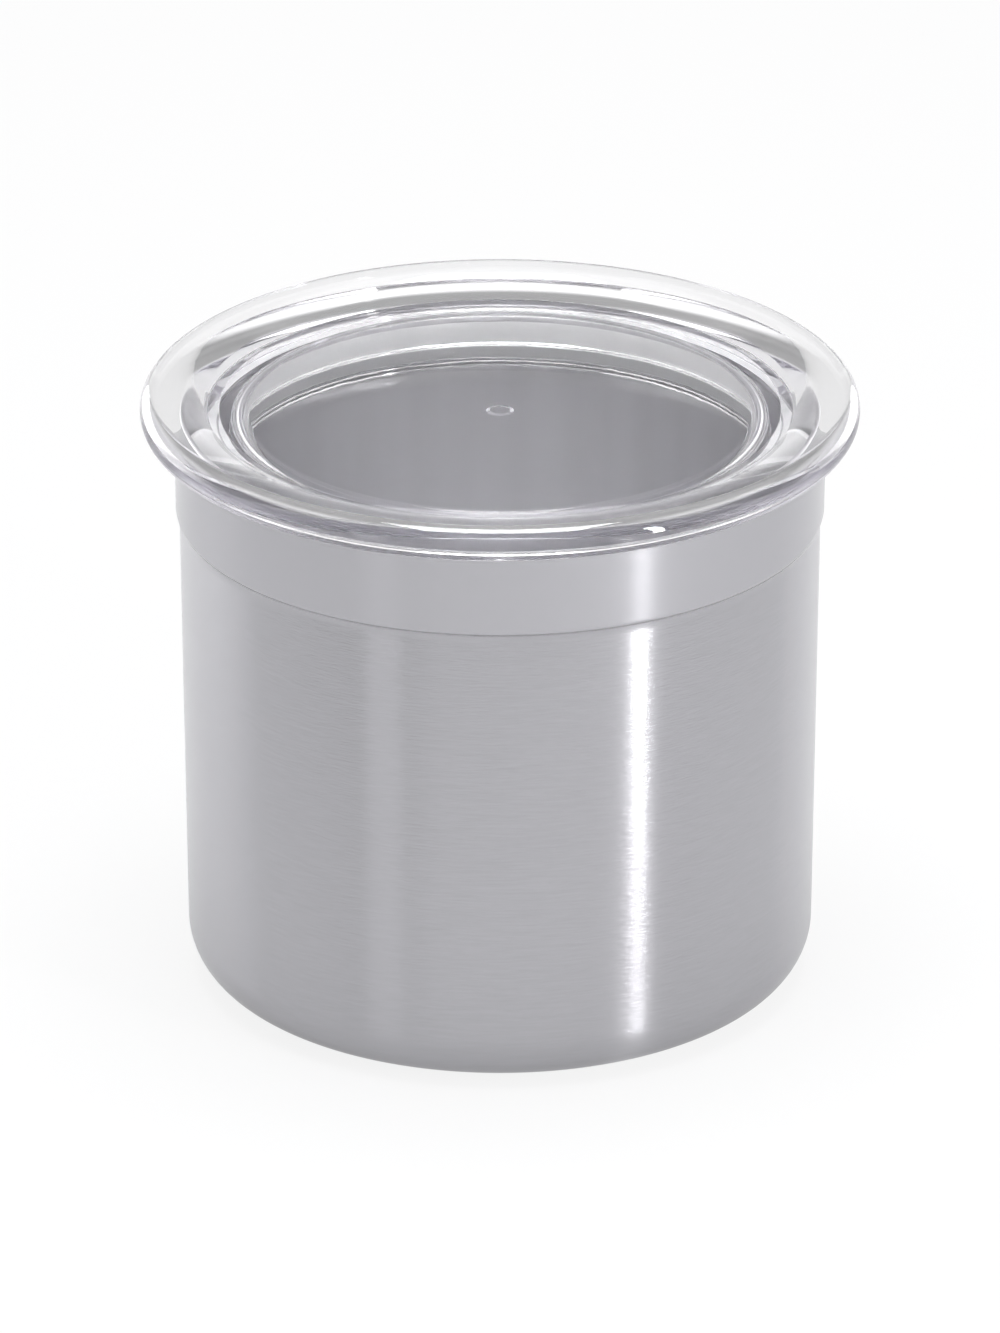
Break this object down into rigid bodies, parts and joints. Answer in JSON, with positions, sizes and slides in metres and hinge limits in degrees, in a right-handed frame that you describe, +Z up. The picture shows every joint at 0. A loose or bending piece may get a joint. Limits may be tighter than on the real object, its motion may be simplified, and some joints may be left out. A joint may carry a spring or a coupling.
{
  "type": "food canister",
  "caption": "Round brushed steel food canister with a clear push-in lid, a finned silicone seal, a dished lid top that takes another canister's base, and a flat foot.",
  "frame": {"origin": "centre of the base, on the surface the canister stands on", "axes": "+Z up along the canister's axis; it is round, so X and Y may lie any way"},
  "size_m": [0.12, 0.12, 0.1042],
  "materials": {
    "brushed_steel": "fine brushing round the wall, satin collar",
    "clear_acrylic": "clear, polished",
    "clear_silicone": "translucent, matte"
  },
  "bodies": {
    "canister": {"canister_body": "brushed_steel"},
    "seal": {"sealing_ring": "clear_silicone"},
    "lid": {"lid": "clear_acrylic"}
  },
  "joints": [
    {"name": "lid_lift", "type": "slide", "parent": "canister", "child": "seal", "axis": [0, 0, 1], "range_m": [0, 0.13]},
    {"name": "lid_turn", "type": "hinge", "parent": "seal", "child": "lid", "pos_m": [0, 0, 0.0899], "axis": [0, 0, 1], "continuous": true}
  ]
}
